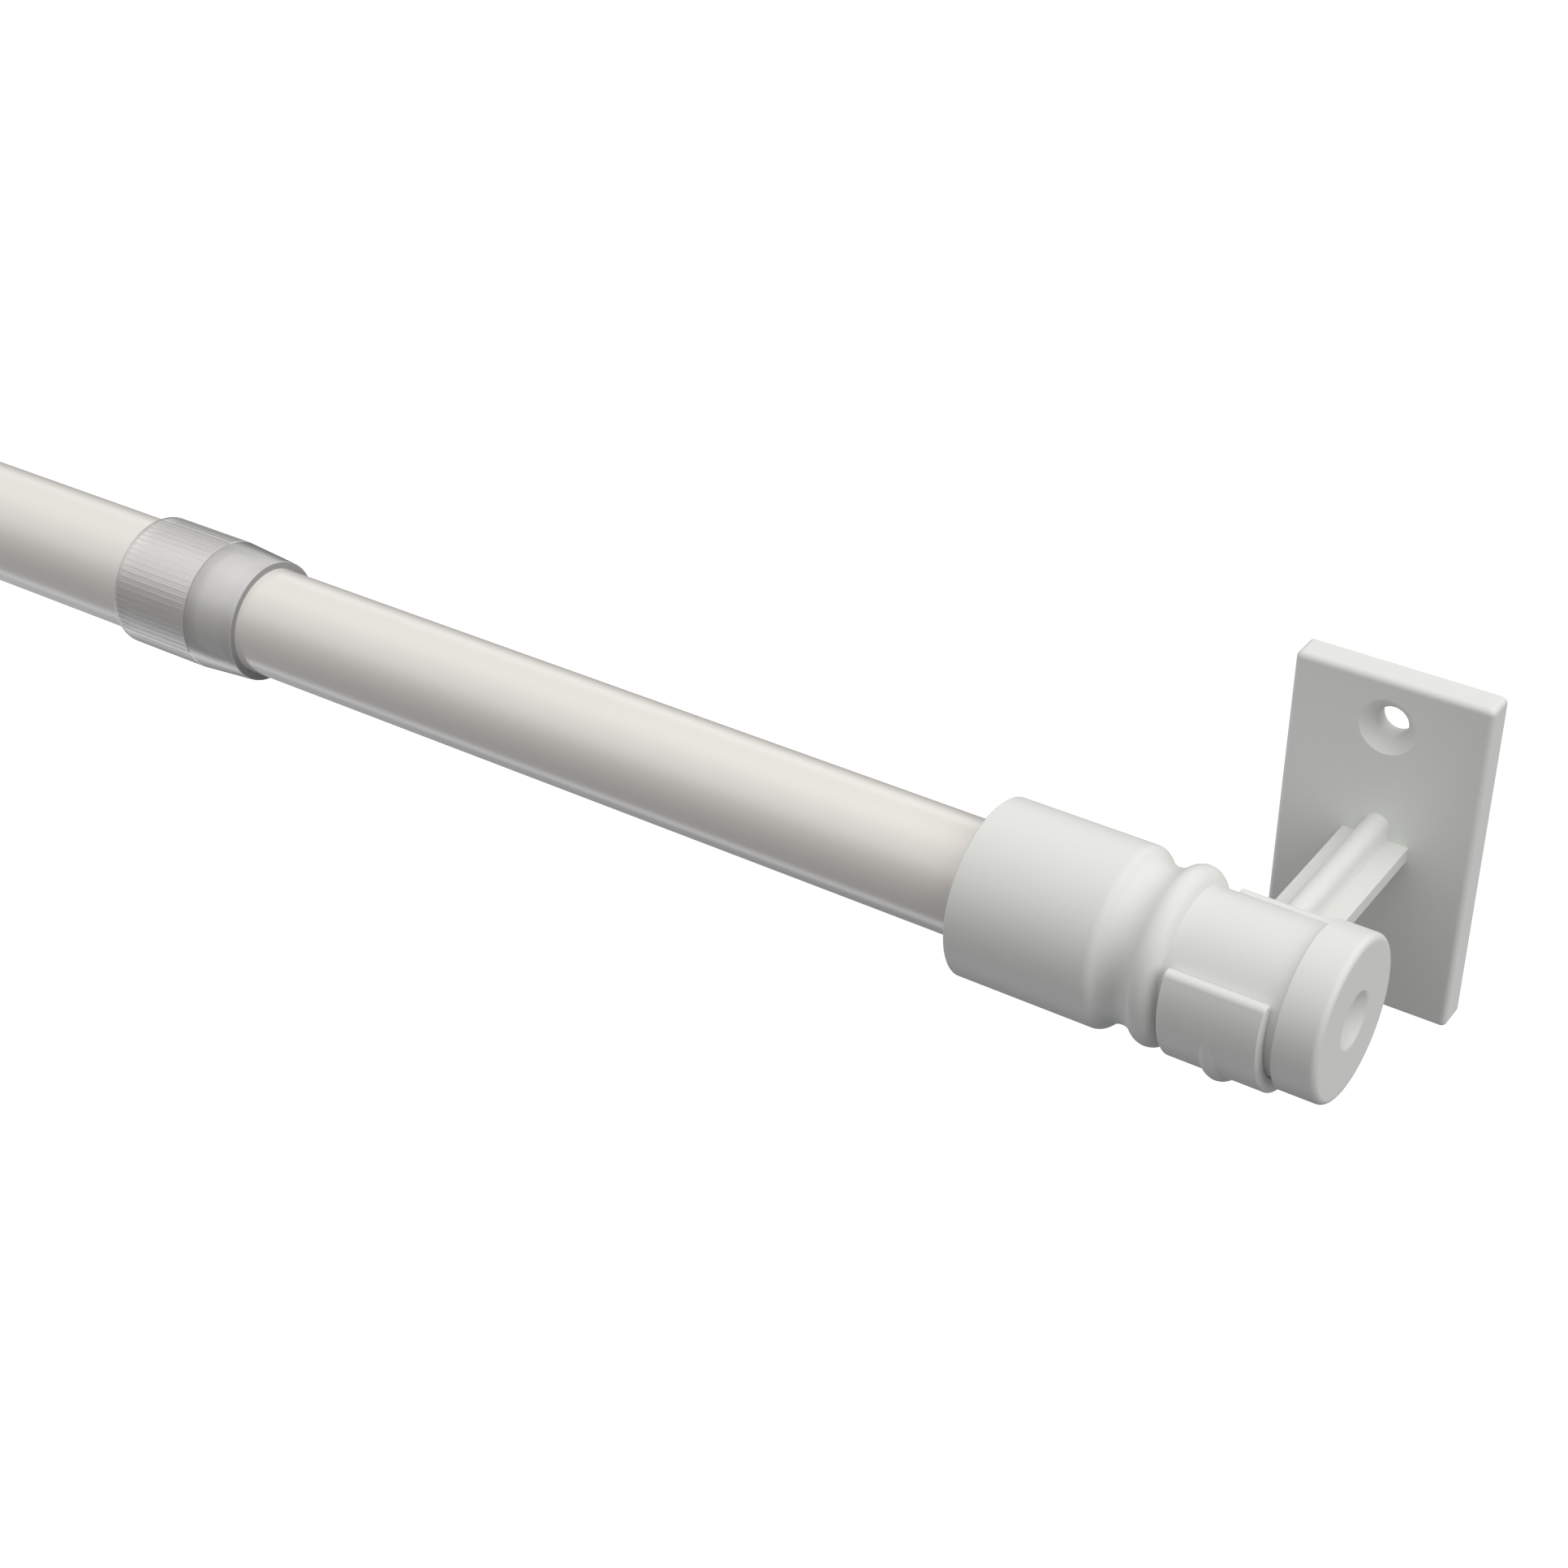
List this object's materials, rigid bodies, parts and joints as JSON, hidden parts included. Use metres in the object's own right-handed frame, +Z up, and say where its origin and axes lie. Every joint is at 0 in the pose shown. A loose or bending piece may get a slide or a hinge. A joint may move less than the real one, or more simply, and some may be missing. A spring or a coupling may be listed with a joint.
{
  "type": "extendable curtain rod",
  "caption": "Telescoping white curtain rod with a clear step sleeve and turned end caps, snapped into open-topped wall brackets with countersunk screw holes.",
  "frame": {"origin": "on the wall face of the left bracket, midway between its two screw holes", "axes": "+X along the rod towards the end that slides out, +Y into the wall, +Z up"},
  "size_m": [0.573, 0.0537, 0.0498],
  "materials": {
    "tube_paint": "gloss",
    "white_plastic": "satin",
    "clear_plastic": "clear",
    "bush_plastic": "matte"
  },
  "bodies": {
    "left_bracket": {"left_bracket": "white_plastic"},
    "outer_rod": {"outer_tube": "tube_paint", "left_end_cap": "white_plastic", "clear_sleeve": "clear_plastic"},
    "inner_rod": {"inner_tube": "tube_paint", "right_end_cap": "white_plastic", "guide_bush": "bush_plastic"},
    "right_bracket": {"right_bracket": "white_plastic"}
  },
  "joints": [
    {"name": "rod_turn_in_left_clip", "type": "hinge", "parent": "left_bracket", "child": "outer_rod", "pos_m": [0, -0.0415, 0.0005], "axis": [1, 0, 0], "continuous": true},
    {"name": "rod_extension", "type": "slide", "parent": "outer_rod", "child": "inner_rod", "axis": [1, 0, 0], "range_m": [-0.1225, 0.1272]},
    {"name": "right_bracket_turn_on_rod", "type": "hinge", "parent": "inner_rod", "child": "right_bracket", "pos_m": [0.54547, -0.0415, 0.0005], "axis": [1, 0, 0], "continuous": true}
  ]
}
